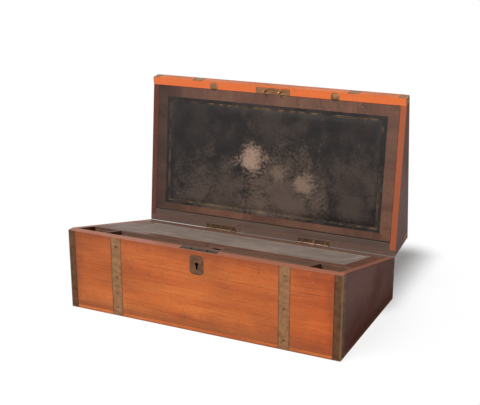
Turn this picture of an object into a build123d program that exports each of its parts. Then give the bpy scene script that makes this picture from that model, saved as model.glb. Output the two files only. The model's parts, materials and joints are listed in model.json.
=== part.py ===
from build123d import *
import math
import os

# Traveling desk box: a brass-bound mahogany writing slope.
# The frame's origin is the centre of the underside. X runs along the width, Y towards the
# hinges and Z up. The lock side faces -Y.
# The box is split on a slope. The base is tall at the lock side and low at the hinges, and the
# lid is the wedge that completes it. Opened flat, lid and base make one long writing slope.
# The lid is drawn closed and then turned to the angle it stands at.

# Overall sizes of the closed box
width = 500.0
depth = 275.0
closed_height = 160.0
lid_front_h = 18.0
hinge_height = 80.0
edge_ease = 1.2

# Pose and travel of the lid
stand_angle = 82.0
seam_gap = 0.3
hinge_setback = 0.2

# Boards
front_wall_t = 15.0
wall_t = 11.0
bottom_t = 7.0
top_t = 7.0

# Dovetailed corners
dovetail_lean = 1 / 7
tail_share = 0.36
base_front_tails = 5
base_back_tails = 3
lid_back_tails = 3
lid_front_tails = 1

# Pen section behind the front wall
pen_section_depth = 50.0
divider_t = 7.0
apron_below_rim = 42.0
divider_corner_round = 10.0
finger_scallop_w = 34.0
finger_scallop_h = 7.0
cell_width = 50.0
cell_floor_below_rim = 64.0
cell_floor_t = 6.0
partition_t = 5.0
tray_below_rim = 18.0
tray_t = 18.0
tray_gap = 0.4
tray_bearer_w = 6.0
tray_bearer_h = 8.0
tray_end_margin = 16.0
scoop_width = 38.0
scoop_depth = 12.0

# Writing flaps, one in the base and one in the lid
flap_t = 5.0
flap_side_gap = 0.5
flap_end_gap = 0.5
crossband_t = 1.0
crossband_side = 20.0
crossband_free = 20.0
crossband_hinge = 12.0
leather_t = 0.9
hinge_rail_w = 12.0
hinge_rail_h = 14.0
nose_gap = 0.4
ledge_w = 8.0
ledge_h = 8.0
ledge_gap = 0.3
lid_ledge_start = 30.0
flap_pivot_r = 1.4
flap_pivot_in_flap = 14.0
flap_pivot_in_wall = 6.0
running_gap = 0.05

# Brass straps and corners, let in flush with the wood
brass_t = 1.2
strap_w = 20.0
strap_x = 154.0
strap_tail = 25.0
corner_leg = 14.0
back_cap_h = 22.0

# Butt hinges between base and lid
hinge_x = 95.0
hinge_length = 62.0
hinge_leaf_w = 9.0
hinge_leaf_t = 1.5
knuckle_count = 5
knuckle_r = 2.8
knuckle_gap = 0.3
knuckle_end_gap = 0.15
hinge_pin_r = 1.3

# Box lock in the front wall
lock_width = 56.0
lock_height = 36.0
lock_depth = 9.5
lock_case_t = 1.2
selvage_t = 1.5
selvage_w = 11.5
selvage_length = 68.0
keyhole_below_rim = 22.0
keyhole_r = 3.2
keyhole_slot_w = 2.8
keyhole_slot_h = 9.0
escutcheon_w = 26.0
escutcheon_h = 34.0
escutcheon_t = 1.0
escutcheon_round = 7.0
hook_x = 15.0
hook_t = 2.5
hook_w = 4.5
hook_length = 8.0
hook_eye_w = 2.6
hook_eye_h = 3.0
hook_tip = 1.7
hook_front_gap = 0.5
slot_gap = 0.3
bolt_travel = 5.0
bolt_bar_length = 42.0
bolt_bar_h = 4.5
bolt_bar_w = 4.0
bolt_below_hook = 1.8
bolt_finger_gap = 0.5
bolt_post_w = 3.0
bolt_finger_play = 0.3
bolt_guide_w = 5.0
bolt_guide_gap = 0.1
bolt_notch_r = 2.5

# Turn catches that hold the lid's flap
catch_x = 120.0
catch_r = 8.0
catch_t = 1.2
catch_inset = 5.0
catch_gap = 0.3
catch_flat_gap = 0.3
catch_shank_r = 1.6
catch_shank_length = 5.0

# Ink bottles
bottle_side = 44.0
bottle_body_h = 30.0
bottle_shoulder_h = 5.0
bottle_corner_cut = 7.5
bottle_rest_gap = 0.3
shoulder_margin = 1.0
neck_r = 11.5
neck_h = 7.0
well_r = 8.5
well_floor = 5.0
collar_t = 1.0
collar_h = 4.0
cap_t = 1.2
cap_h = 6.0
cap_gap = 0.3
cap_crown_h = 2.0
cap_pin_r = 0.8
cap_knuckle_r = 1.9
cap_knuckle_length = 4.0
cap_knuckle_out = 2.6
cap_axis_rise = 1.5

# Countersunk brass screws
screw_head_r = 2.6
screw_head_h = 1.2
screw_shank_r = 1.1
screw_length = 7.0
screw_sides = 8
strap_screw_count = 3
lid_screw_count = 4
strap_screw_margin = 16.0
leaf_screw_count = 3
leaf_screw_share = 0.36

# Sizes that follow from the ones above
half_w = width / 2
half_d = depth / 2
inner_half_w = half_w - wall_t
front_height = closed_height - lid_front_h
keyhole_z = front_height - keyhole_below_rim
divider_apron_z = front_height - apron_below_rim
cell_floor_z = front_height - cell_floor_below_rim
tray_top_z = front_height - tray_below_rim
rim_y = -half_d + front_wall_t
back_inner_y = half_d - wall_t
slope_run = half_d - rim_y
slope_drop = front_height - hinge_height
slope_deg = math.degrees(math.atan2(slope_drop, slope_run))
slope_cos = math.cos(math.radians(slope_deg))
slope_sin = math.sin(math.radians(slope_deg))
lid_front_z = front_height + seam_gap
lid_inner_z = closed_height - top_t
axis_y = half_d + hinge_setback
axis_z = hinge_height + seam_gap / 2
divider_y = rim_y + pen_section_depth
divider_back_y = divider_y + divider_t
rail_s = (back_inner_y - hinge_rail_w - rim_y) / slope_cos
pivot_s = rail_s - flap_t / 2 - nose_gap
partition_x = inner_half_w - cell_width
flap_half_w = inner_half_w - flap_side_gap
lock_face_y = rim_y - lock_depth
hook_front_y = lock_face_y + lock_case_t + hook_front_gap
hook_mid_y = hook_front_y + hook_w / 2
catch_y = rim_y - catch_inset
over = 5.0

# The slope's own frames: local x along the width, y down the slope, z square to it
base_slope = Plane((0, rim_y, front_height), x_dir=(1, 0, 0), z_dir=(0, slope_sin, slope_cos)).location
lid_slope = Pos(0, 0, seam_gap) * base_slope


def rim_z(y):
    """Height of the base's rim: level over the front wall, then falling to the hinges."""
    return front_height - max(0.0, y - rim_y) * slope_drop / slope_run


def span_box(x, y, z):
    """A box given by its low and high ends along each axis."""
    box = Box(x[1] - x[0], y[1] - y[0], z[1] - z[0])
    return Pos((x[0] + x[1]) / 2, (y[0] + y[1]) / 2, (z[0] + z[1]) / 2) * box


def prism_x(points, x_low, x_high):
    """A solid with an outline in y and z, running from x_low to x_high."""
    outline = Polyline(*[(x_low, y, z) for y, z in points], close=True)
    return extrude(make_face(outline), amount=x_high - x_low, dir=(1, 0, 0))


def rod_x(radius, x_low, x_high, y, z):
    """A round bar along X."""
    rod = Rot(0, 90, 0) * Cylinder(radius, x_high - x_low)
    return Pos((x_low + x_high) / 2, y, z) * rod


def mirrored(part):
    """The same piece on the other end of the box."""
    return mirror(part, about=Plane.YZ)


def outer_form():
    """The closed box as one block with its outer edges eased."""
    block = span_box((-half_w, half_w), (-half_d, half_d), (0, closed_height))
    return chamfer(block.edges(), edge_ease)


def base_space():
    """Everything under the base's rim."""
    front = -half_d - over
    back = half_d + over
    points = [(front, -over), (back, -over), (back, rim_z(back))]
    points += [(rim_y, front_height), (front, front_height)]
    return prism_x(points, -half_w - over, half_w + over)


def lid_space():
    """Everything above the lid's rim, which closes down onto the base with a fine seam."""
    front = -half_d - over
    back = half_d + over
    top = closed_height + over
    points = [(front, lid_front_z), (rim_y, lid_front_z), (back, rim_z(back) + seam_gap)]
    points += [(back, top), (front, top)]
    return prism_x(points, -half_w - over, half_w + over)


outer = outer_form()
below_seam = base_space()
above_seam = lid_space()


def dovetails(y_face, y_line, z_low, z_high, count, x_inner):
    """The tails of one end board: wide at the outer face and narrow at the shoulder line."""
    pitch = (z_high - z_low) / count
    wide = tail_share * pitch
    narrow = wide - abs(y_face - y_line) * dovetail_lean
    tails = []
    for number in range(count):
        z = z_low + (number + 0.5) * pitch
        outline = [(y_face, z - wide), (y_face, z + wide), (y_line, z + narrow), (y_line, z - narrow)]
        tails.append(prism_x(outline, x_inner, half_w))
    return tails


def base_front_joint():
    return dovetails(-half_d, rim_y, bottom_t, front_height, base_front_tails, inner_half_w)


def base_back_joint():
    return dovetails(half_d, back_inner_y, bottom_t, hinge_height, base_back_tails, inner_half_w)


def lid_front_joint():
    return dovetails(-half_d, rim_y, lid_front_z, lid_inner_z, lid_front_tails, inner_half_w)


def lid_back_joint():
    low = rim_z(back_inner_y) + seam_gap
    return dovetails(half_d, back_inner_y, low, lid_inner_z, lid_back_tails, inner_half_w)


def both_ends(parts):
    """A list of pieces at the +X end, with their mirror images at the other."""
    return parts + [mirrored(part) for part in parts]


# Brass let into the outside

def base_strap(x):
    """A flat strap down the whole front of the base."""
    strap_span = (x - strap_w / 2, x + strap_w / 2)
    return outer & span_box(strap_span, (-half_d, -half_d + brass_t), (0, front_height))


def brass_skin():
    """The outermost layer of the closed box, as thick as the brass."""
    core = span_box((-half_w + brass_t, half_w - brass_t), (-half_d + brass_t, half_d - brass_t),
                    (-over, closed_height - brass_t))
    return outer - core


def lid_strap(x):
    """A strap up the lid's front edge, over its top and a little way down its back."""
    band = span_box((x - strap_w / 2, x + strap_w / 2), (-half_d, half_d),
                    (lid_front_z, closed_height))
    below_tail = span_box((-half_w, half_w), (half_d - brass_t, half_d), (0, closed_height - strap_tail))
    return skin & band - below_tail


def base_corner():
    """An angle up the whole height of a front corner, at the +X end."""
    front_leg = span_box((half_w - corner_leg, half_w), (-half_d, -half_d + brass_t), (0, front_height))
    side_leg = span_box((half_w - brass_t, half_w), (-half_d, -half_d + corner_leg), (0, front_height))
    return outer & (front_leg + side_leg)


def lid_front_cap():
    """A three-way cap on a front corner of the lid, at the +X end."""
    return skin & span_box((half_w - corner_leg, half_w), (-half_d, -half_d + corner_leg),
                           (lid_front_z, closed_height))


def lid_back_cap():
    """A three-way cap on a back corner of the lid, at the +X end."""
    return skin & span_box((half_w - corner_leg, half_w), (half_d - corner_leg, half_d),
                           (closed_height - back_cap_h, closed_height))


skin = brass_skin()


# Screws

def screw(place):
    """A countersunk screw with a few flats for its round, its head flush with the surface at
    place, whose z points outwards."""
    flat_share = math.cos(math.pi / screw_sides)
    lean = math.degrees(math.atan2((screw_head_r - screw_shank_r) * flat_share, screw_head_h))
    head = extrude(RegularPolygon(screw_head_r, screw_sides), amount=screw_head_h, taper=lean)
    shank = extrude(RegularPolygon(screw_shank_r, screw_sides), amount=screw_length)
    return place * Rot(180, 0, 0) * (head + shank)


def spread(low, high, count):
    """Evenly spaced places from low to high."""
    return [low + (high - low) * number / (count - 1) for number in range(count)]


def base_strap_screws():
    heights = spread(strap_screw_margin, front_height - strap_screw_margin, strap_screw_count)
    return [screw(Location((x, -half_d, z), (90, 0, 0))) for x in (-strap_x, strap_x) for z in heights]


def lid_strap_screws():
    places = spread(-half_d + strap_screw_margin, half_d - strap_screw_margin, lid_screw_count)
    return [screw(Location((x, y, closed_height))) for x in (-strap_x, strap_x) for y in places]


def leaf_screws(slope, turn):
    """Screws through both hinge leaves that lie on one slope."""
    s = slope_run / slope_cos - wall_t / 2
    reach = hinge_length * leaf_screw_share
    places = [mid + step for mid in (-hinge_x, hinge_x) for step in spread(-reach, reach, leaf_screw_count)]
    return [screw(slope * Pos(x, s, 0) * Rot(turn, 0, 0)) for x in places]


# Butt hinges

def knuckle_spans(x_mid, first):
    """Where one leaf's knuckles lie along the pin: every second one, from first on."""
    pitch = hinge_length / knuckle_count
    start = x_mid - hinge_length / 2
    return [(start + n * pitch, start + (n + 1) * pitch) for n in range(first, knuckle_count, 2)]


def leaf_plate(x_mid, slope, side):
    """The flat of a leaf, let into the rim; side is -1 under the slope and 1 above it."""
    plate = Box(hinge_length, hinge_leaf_w, hinge_leaf_t)
    s = (axis_y - rim_y) / slope_cos - hinge_leaf_w / 2
    return slope * Pos(x_mid, s, side * hinge_leaf_t / 2) * plate


def hinge_leaf(x_mid, slope, side, first):
    """One leaf with its knuckles, notched where the other leaf's knuckles turn."""
    leaf = leaf_plate(x_mid, slope, side)
    room = knuckle_r + knuckle_gap
    for low, high in knuckle_spans(x_mid, 1 - first):
        leaf -= span_box((low - knuckle_end_gap, high + knuckle_end_gap), (axis_y - room, axis_y + room),
                         (axis_z - room, axis_z + room))
    for low, high in knuckle_spans(x_mid, first):
        leaf += rod_x(knuckle_r, low, high, axis_y, axis_z)
    bore_r = hinge_pin_r + running_gap
    return leaf - rod_x(bore_r, x_mid - hinge_length, x_mid + hinge_length, axis_y, axis_z)


def hinge_pin(x_mid):
    return rod_x(hinge_pin_r, x_mid - hinge_length / 2, x_mid + hinge_length / 2, axis_y, axis_z)


def hinge_pocket(x_mid, slope, side):
    """What a rim loses to a hinge: the leaf's bed and room for the knuckles."""
    room = knuckle_gap + hinge_length / 2
    return leaf_plate(x_mid, slope, side) + rod_x(knuckle_r + knuckle_gap, x_mid - room, x_mid + room,
                                                  axis_y, axis_z)


# Lock

def lock_block():
    """The outside of the lock case, flush with the wall's inner face."""
    return span_box((-lock_width / 2, lock_width / 2), (lock_face_y, rim_y),
                    (front_height - lock_height, front_height - selvage_t))


def selvage():
    """The lock's top plate, flush with the rim."""
    return span_box((-selvage_length / 2, selvage_length / 2), (rim_y - selvage_w, rim_y),
                    (front_height - selvage_t, front_height))


def keyhole(y_low, y_high):
    """A round hole with a slot under it, along Y."""
    turn = Rot(90, 0, 0)
    length = y_high - y_low
    mid_y = (y_low + y_high) / 2
    hole = Pos(0, mid_y, keyhole_z) * turn * Cylinder(keyhole_r, length)
    return hole + span_box((-keyhole_slot_w / 2, keyhole_slot_w / 2), (y_low, y_high),
                           (keyhole_z - keyhole_slot_h, keyhole_z))


def hook_swing():
    """How far a hook moves along Y as it swings down into its slot."""
    return hook_length * (front_height - axis_z) / (axis_y - hook_mid_y)


def finger_z():
    """Middle height of the hooks' eyes, where the bolt's fingers run."""
    return lid_front_z - hook_length + hook_tip + hook_eye_h / 2


def bolt_bar_z():
    """Low and high faces of the bolt's bar, below the tips of the hooks."""
    high = lid_front_z - hook_length - bolt_below_hook
    return (high - bolt_bar_h, high)


def lock_case():
    """Hollow case with its top plate, hook slots, keyhole and the two guides the bolt slides on."""
    inside = (lock_face_y + lock_case_t, rim_y - lock_case_t)
    reach = lock_width / 2 - lock_case_t
    floor_z = front_height - lock_height + lock_case_t
    case = lock_block() - span_box((-reach, reach), inside, (floor_z, front_height - selvage_t))
    for x in (-reach, reach - bolt_guide_w):
        case += span_box((x, x + bolt_guide_w), inside, (floor_z, bolt_bar_z()[0] - bolt_guide_gap))
    case += selvage()
    slot_y = (hook_front_y - slot_gap, hook_front_y + hook_w + hook_swing() + slot_gap)
    for x in (-hook_x, hook_x):
        slot_x = (x - hook_t / 2 - slot_gap, x + hook_t / 2 + slot_gap)
        case -= span_box(slot_x, slot_y, (front_height - selvage_t, front_height))
    return case - keyhole(lock_face_y, inside[0])


def lock_bolt():
    """A bar with two posts, each with a finger that slides through the eye of a hook."""
    low, high = bolt_bar_z()
    bar_x = (-bolt_bar_length / 2 - bolt_travel / 2, bolt_bar_length / 2 - bolt_travel / 2)
    bolt = span_box(bar_x, (hook_mid_y - bolt_bar_w / 2, hook_mid_y + bolt_bar_w / 2), (low, high))
    half_finger = hook_eye_w / 2 - bolt_finger_play
    top = finger_z() + hook_eye_h / 2 - bolt_finger_play
    finger_y = (hook_mid_y - half_finger, hook_mid_y + half_finger)
    for x in (-hook_x, hook_x):
        tip_x = x - hook_t / 2 - bolt_finger_gap
        post_x = tip_x - bolt_travel
        bolt += span_box((post_x - bolt_post_w, post_x), finger_y, (low, top))
        bolt += span_box((post_x, tip_x), finger_y, (finger_z() - hook_eye_h / 2 + bolt_finger_play, top))
    notch = Pos(0, hook_mid_y, low) * Rot(90, 0, 0) * Cylinder(bolt_notch_r, bolt_bar_w)
    return bolt - notch


def link_plate_flat():
    """The plate under the lid's front edge that carries the hooks."""
    return span_box((-selvage_length / 2, selvage_length / 2), (rim_y - selvage_w, rim_y),
                    (lid_front_z, lid_front_z + selvage_t))


def lock_link_plate():
    """The lid's half of the lock: a plate with two eyed hooks that drop into the case."""
    plate = link_plate_flat()
    for x in (-hook_x, hook_x):
        hook_span = (x - hook_t / 2, x + hook_t / 2)
        hook_z = (lid_front_z - hook_length, lid_front_z)
        hook = span_box(hook_span, (hook_front_y, hook_front_y + hook_w), hook_z)
        tip_edges = hook.edges().filter_by(Axis.X).group_by(Axis.Z)[0]
        hook = fillet(tip_edges, hook_w / 4)
        eye_y = (hook_mid_y - hook_eye_w / 2, hook_mid_y + hook_eye_w / 2)
        eye_z = (finger_z() - hook_eye_h / 2, finger_z() + hook_eye_h / 2)
        plate += hook - span_box(hook_span, eye_y, eye_z)
    return plate


def escutcheon_plate():
    """A plate with rounded corners, let into the front around the keyhole."""
    mid_z = keyhole_z - keyhole_slot_h / 2 + keyhole_r
    plate = span_box((-escutcheon_w / 2, escutcheon_w / 2), (-half_d, -half_d + escutcheon_t),
                     (mid_z - escutcheon_h / 2, mid_z + escutcheon_h / 2))
    return fillet(plate.edges().filter_by(Axis.Y), escutcheon_round)


# Turn catches

def catch_disc(radius, z_low, z_high):
    return Pos(catch_x, catch_y, (z_low + z_high) / 2) * Cylinder(radius, z_high - z_low)


def turn_catch():
    """A disc with one flat, on a shank. The flat frees the flap, and half a turn holds it."""
    back_z = lid_front_z + catch_t
    disc = catch_disc(catch_r, lid_front_z, back_z)
    flat_y = catch_y + catch_inset - catch_flat_gap
    across = (catch_x - catch_r, catch_x + catch_r)
    disc -= span_box(across, (flat_y, flat_y + catch_r), (lid_front_z, back_z))
    return disc + catch_disc(catch_shank_r, back_z, back_z + catch_shank_length)


def catch_room():
    """What the rim and the flap lose to a catch: a shallow round bed and the shank's hole."""
    bed = catch_disc(catch_r + catch_gap, lid_front_z - over, lid_front_z + catch_t + running_gap)
    shank = catch_disc(catch_shank_r + running_gap, lid_front_z,
                       lid_front_z + catch_t + catch_shank_length + running_gap)
    return bed + shank


# Boards of the base

def base_front_wall():
    wall = span_box((-half_w, half_w), (-half_d, rim_y), (bottom_t, front_height)) & outer
    wall -= both_ends(base_front_joint())
    wall -= [lock_block(), selvage(), escutcheon_plate(), keyhole(-half_d, lock_face_y)]
    wall -= [base_strap(-strap_x), base_strap(strap_x)]
    wall -= both_ends([base_corner()])
    return wall - base_strap_screws()


def base_back_wall():
    wall = span_box((-half_w, half_w), (back_inner_y, half_d), (bottom_t, front_height))
    wall = wall & below_seam & outer
    wall -= both_ends(base_back_joint())
    wall -= [hinge_pocket(x, base_slope, -1) for x in (-hinge_x, hinge_x)]
    return wall - leaf_screws(base_slope, 0)


def base_end():
    """The end board at +X, with tails at both ends and a hole for the flap's pivot."""
    board = span_box((inner_half_w, half_w), (rim_y, back_inner_y), (bottom_t, front_height)) & below_seam
    board += base_front_joint() + base_back_joint()
    board = board & outer
    return board - [base_corner(), pivot_rod(base_slope, -1, running_gap)]


def bottom_board():
    board = span_box((-half_w, half_w), (-half_d, half_d), (0, bottom_t)) & outer
    board -= [base_strap(-strap_x), base_strap(strap_x)]
    board -= both_ends([base_corner()])
    return board - base_strap_screws()


# Boards of the lid

def lid_front_wall():
    wall = span_box((-half_w, half_w), (-half_d, rim_y), (lid_front_z, lid_inner_z)) & outer
    wall -= both_ends(lid_front_joint())
    wall -= [lid_strap(-strap_x), lid_strap(strap_x), link_plate_flat()]
    return wall - both_ends([lid_front_cap(), catch_room()])


def lid_back_wall():
    wall = span_box((-half_w, half_w), (back_inner_y, half_d), (0, lid_inner_z))
    wall = wall & above_seam & outer
    wall -= both_ends(lid_back_joint())
    wall -= [hinge_pocket(x, lid_slope, 1) for x in (-hinge_x, hinge_x)]
    wall -= [lid_strap(-strap_x), lid_strap(strap_x)]
    wall -= both_ends([lid_back_cap()])
    return wall - leaf_screws(lid_slope, 180)


def lid_end():
    """The end board at +X."""
    board = span_box((inner_half_w, half_w), (rim_y, back_inner_y), (0, lid_inner_z)) & above_seam
    board += lid_front_joint() + lid_back_joint()
    board = board & outer
    return board - [lid_front_cap(), lid_back_cap(), pivot_rod(lid_slope, 1, running_gap)]


def lid_top_board():
    board = span_box((-half_w, half_w), (-half_d, half_d), (lid_inner_z, closed_height)) & outer
    board -= [lid_strap(-strap_x), lid_strap(strap_x)]
    board -= both_ends([lid_front_cap(), lid_back_cap()])
    return board - lid_strap_screws()


# Rails, ledges and the pen section

def hinge_rail(slope, side):
    """The fixed strip along the hinge side that the flap's rounded edge turns against."""
    block = slope * Pos(0, rail_s + hinge_rail_w, side * hinge_rail_h / 2)
    block = block * Box(2 * inner_half_w, 2 * hinge_rail_w, hinge_rail_h)
    return block & span_box((-half_w, half_w), (-half_d, back_inner_y), (0, closed_height))


def flap_ledge(slope, side, s_low):
    """A strip along the +X end that the flap shuts down on."""
    t = flap_t + ledge_gap + ledge_h / 2
    length = rail_s - s_low
    strip = Box(ledge_w, length, ledge_h)
    return slope * Pos(inner_half_w - ledge_w / 2, s_low + length / 2, side * t) * strip


def flap_start_s():
    """Where the base's flap starts down the slope, just clear of the divider."""
    return (divider_back_y + flap_end_gap - rim_y + flap_t * slope_sin) / slope_cos


def base_ledge():
    """The base's ledge runs on to the divider's back face."""
    ledge = flap_ledge(base_slope, -1, flap_start_s() - ledge_w)
    return ledge & span_box((0, half_w), (divider_back_y, half_d), (0, front_height))


def pen_section_divider():
    """The rail behind the pen section: deep beside the ink bottles, with an apron between
    them and a scallop in its top that lets a finger under the flap."""
    low = cell_floor_z - cell_floor_t
    board_y = (divider_y, divider_back_y)
    board = span_box((-inner_half_w, inner_half_w), board_y, (low, front_height)) & below_seam
    gate = span_box((-partition_x, partition_x), board_y, (low - over, divider_apron_z))
    top_corners = gate.edges().filter_by(Axis.Y).group_by(Axis.Z)[-1]
    board -= fillet(top_corners, divider_corner_round)
    radius = (finger_scallop_w ** 2 / 4 + finger_scallop_h ** 2) / (2 * finger_scallop_h)
    scallop = Rot(90, 0, 0) * Cylinder(radius, 2 * divider_t + over)
    rim = rim_z(divider_back_y)
    return board - Pos(0, (divider_y + divider_back_y) / 2, rim - finger_scallop_h + radius) * scallop


def cell_partition():
    """The wall between an ink bottle's cell and the pen tray, at the +X end."""
    low = cell_floor_z - cell_floor_t
    board = span_box((partition_x - partition_t, partition_x), (rim_y, divider_y), (low, front_height))
    return board & below_seam


def cell_floor():
    low = cell_floor_z - cell_floor_t
    return span_box((partition_x, inner_half_w), (rim_y, divider_y), (low, cell_floor_z))


def tray_bearer():
    high = tray_top_z - tray_t
    x = partition_x - partition_t
    return span_box((x - tray_bearer_w, x), (rim_y, divider_y), (high - tray_bearer_h, high))


def pen_tray():
    """A block with a long scoop: a trough of one radius with ball-shaped ends."""
    reach = partition_x - partition_t - tray_gap
    tray_y = (rim_y + tray_gap, divider_y - tray_gap)
    block = span_box((-reach, reach), tray_y, (tray_top_z - tray_t, tray_top_z))
    radius = (scoop_width ** 2 / 4 + scoop_depth ** 2) / (2 * scoop_depth)
    mid_y = (rim_y + divider_y) / 2
    mid_z = tray_top_z - scoop_depth + radius
    end_x = reach - tray_end_margin - scoop_width / 2
    block -= rod_x(radius, -end_x, end_x, mid_y, mid_z)
    return block - both_ends([Pos(end_x, mid_y, mid_z) * Sphere(radius)])


# Writing flaps

def pivot_rod(slope, side, gap):
    """The pin at the +X end that a flap turns on; gap widens it into its hole."""
    length = flap_pivot_in_flap + flap_side_gap + flap_pivot_in_wall
    x = flap_half_w - flap_pivot_in_flap + length / 2
    rod = Rot(0, 90, 0) * Cylinder(flap_pivot_r + gap, length + gap)
    return slope * Pos(x, pivot_s, side * flap_t / 2) * rod


def flap_board(slope, side, s_low):
    """The flap's board, with its hinge edge rounded about the pivots and a bed for the top layer."""
    length = pivot_s - s_low
    board = Pos(0, s_low + length / 2, side * flap_t / 2) * Box(2 * flap_half_w, length, flap_t)
    nose = Rot(0, 90, 0) * Cylinder(flap_t / 2, 2 * flap_half_w)
    board += Pos(0, pivot_s, side * flap_t / 2) * nose
    bed = Pos(0, s_low + length / 2, side * crossband_t / 2) * Box(2 * flap_half_w, length, crossband_t)
    return slope * (board - bed) - both_ends([pivot_rod(slope, side, 0)])


def crossband_opening(s_low):
    """The four edges of the leather's place: half width, and start and end down the slope."""
    return (flap_half_w - crossband_side, s_low + crossband_free, pivot_s - crossband_hinge)


def crossband(slope, side, s_low):
    """Four strips of crossbanding with mitred corners round the leather."""
    x_in, s_in, s_out = crossband_opening(s_low)
    outside = [(-flap_half_w, s_low), (flap_half_w, s_low), (flap_half_w, pivot_s), (-flap_half_w, pivot_s)]
    inside = [(-x_in, s_in), (x_in, s_in), (x_in, s_out), (-x_in, s_out)]
    strips = []
    for number in range(4):
        after = (number + 1) % 4
        outline = [outside[number], outside[after], inside[after], inside[number]]
        face = make_face(Polyline(*outline, close=True))
        strips.append(slope * extrude(face, amount=side * crossband_t, dir=(0, 0, 1)))
    return strips


def leather(slope, side, s_low):
    """The leather panel, a little lower than the crossbanding round it."""
    x_in, s_in, s_out = crossband_opening(s_low)
    panel = Box(2 * x_in, s_out - s_in, leather_t)
    return slope * Pos(0, (s_in + s_out) / 2, side * (crossband_t - leather_t / 2)) * panel


# Ink bottles, drawn at the +X end

bottle_x = inner_half_w - cell_width / 2
bottle_y = (rim_y + divider_y) / 2
shoulder_z = cell_floor_z + bottle_body_h
neck_z = shoulder_z + bottle_shoulder_h
mouth_z = neck_z + neck_h
cap_axis_y = bottle_y + neck_r + cap_gap + cap_t + cap_knuckle_out
cap_low_z = neck_z + collar_h + cap_gap
cap_axis_z = cap_low_z + cap_axis_rise


def upright(radius, z_low, z_high):
    """A round bar standing on the bottle's axis."""
    return Pos(bottle_x, bottle_y, (z_low + z_high) / 2) * Cylinder(radius, z_high - z_low)


def bottle():
    """A square glass bottle with cut corners, sloping shoulders, a round neck and a straight well."""
    foot_z = cell_floor_z + bottle_rest_gap
    square = chamfer(Rectangle(bottle_side, bottle_side).vertices(), bottle_corner_cut)
    shoulder_in = bottle_side / 2 - neck_r - shoulder_margin
    lean = math.degrees(math.atan2(shoulder_in, bottle_shoulder_h))
    glass = Pos(bottle_x, bottle_y, foot_z) * extrude(square, amount=shoulder_z - foot_z)
    glass += Pos(bottle_x, bottle_y, shoulder_z) * extrude(square, amount=bottle_shoulder_h, taper=lean)
    glass += upright(neck_r, neck_z, mouth_z)
    return glass - upright(well_r, foot_z + well_floor, mouth_z)


def cap_knuckle(x_low, x_high):
    return rod_x(cap_knuckle_r, bottle_x + x_low, bottle_x + x_high, cap_axis_y, cap_axis_z)


def bottle_collar():
    """A brass band round the neck, with two posts that carry the pin of the cap's hinge."""
    radius = neck_r + cap_gap + collar_t
    half = cap_knuckle_length / 2
    post_y = (cap_axis_y - cap_knuckle_r, cap_axis_y + cap_knuckle_r)
    band = upright(radius, neck_z, neck_z + collar_h)
    for low, high in ((-3 * half, -half), (half, 3 * half)):
        x = (bottle_x + low, bottle_x + high)
        band += span_box(x, (bottle_y, cap_axis_y), (neck_z, neck_z + collar_h))
        band += span_box(x, post_y, (neck_z, cap_axis_z + cap_knuckle_r))
    band -= upright(neck_r + running_gap, neck_z, neck_z + collar_h)
    return band - cap_pin(running_gap)


def cap_pin(gap):
    reach = 1.5 * cap_knuckle_length
    return rod_x(cap_pin_r + gap, bottle_x - reach, bottle_x + reach, cap_axis_y, cap_axis_z)


def bottle_cap():
    """A brass cap with a low crown and the middle knuckle of its hinge."""
    radius = neck_r + cap_gap + cap_t
    top = cap_low_z + cap_h
    cap = upright(radius, cap_low_z, top)
    crown = Cone(radius, radius - 2 * cap_crown_h, cap_crown_h)
    cap += Pos(bottle_x, bottle_y, top + cap_crown_h / 2) * crown
    cap -= upright(neck_r + cap_gap, cap_low_z, top - cap_t)
    half = cap_knuckle_length / 2 - knuckle_end_gap
    cap += span_box((bottle_x - half, bottle_x + half), (bottle_y + radius - cap_t / 2, cap_axis_y),
                    (cap_axis_z - cap_t / 2, cap_axis_z + cap_t / 2))
    cap += cap_knuckle(-half, half)
    return cap - cap_pin(running_gap)


# Everything, node by node

def opened(part):
    """A piece of the lid, turned back from shut to the angle the lid stands at."""
    axis = Axis((0, axis_y, axis_z), (-1, 0, 0))
    return part.rotate(axis, stand_angle)


def base_nodes():
    bearer = tray_bearer()
    nodes = {
        "base_front_wall": [base_front_wall()],
        "base_back_wall": [base_back_wall()],
        "base_left_end": [mirrored(base_end())],
        "base_right_end": [base_end()],
        "base_bottom_board": [bottom_board()],
        "base_hinge_rail": [hinge_rail(base_slope, -1)],
        "base_flap_ledges": both_ends([base_ledge()]),
        "pen_section_divider": [pen_section_divider()],
        "inkwell_cell_partitions": both_ends([cell_partition()]),
        "inkwell_cell_floors": both_ends([cell_floor()]),
        "pen_tray_bearers": both_ends([bearer]),
        "pen_tray": [pen_tray()],
        "base_strap_left": [base_strap(-strap_x) - base_strap_screws()],
        "base_strap_right": [base_strap(strap_x) - base_strap_screws()],
        "base_corner_left": [mirrored(base_corner())],
        "base_corner_right": [base_corner()],
        "escutcheon": [escutcheon_plate() - keyhole(-half_d, lock_face_y)],
        "lock_case": [lock_case()],
        "lock_bolt": [lock_bolt()],
        "hinge_pins": [hinge_pin(-hinge_x), hinge_pin(hinge_x)],
        "base_strap_screws": base_strap_screws(),
        "base_hinge_screws": leaf_screws(base_slope, 0),
    }
    for name, x in (("left", -hinge_x), ("right", hinge_x)):
        leaf = hinge_leaf(x, base_slope, -1, 0)
        nodes["hinge_" + name + "_base_leaf"] = [leaf - leaf_screws(base_slope, 0)]
    return nodes


def bottle_nodes():
    nodes = {}
    pieces = {
        "bottle": bottle(),
        "collar": bottle_collar(),
        "cap": bottle_cap(),
        "cap_pin": cap_pin(0),
    }
    for name, piece in pieces.items():
        nodes["inkwell_right_" + name] = [piece]
        nodes["inkwell_left_" + name] = [mirrored(piece)]
    return nodes


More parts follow.
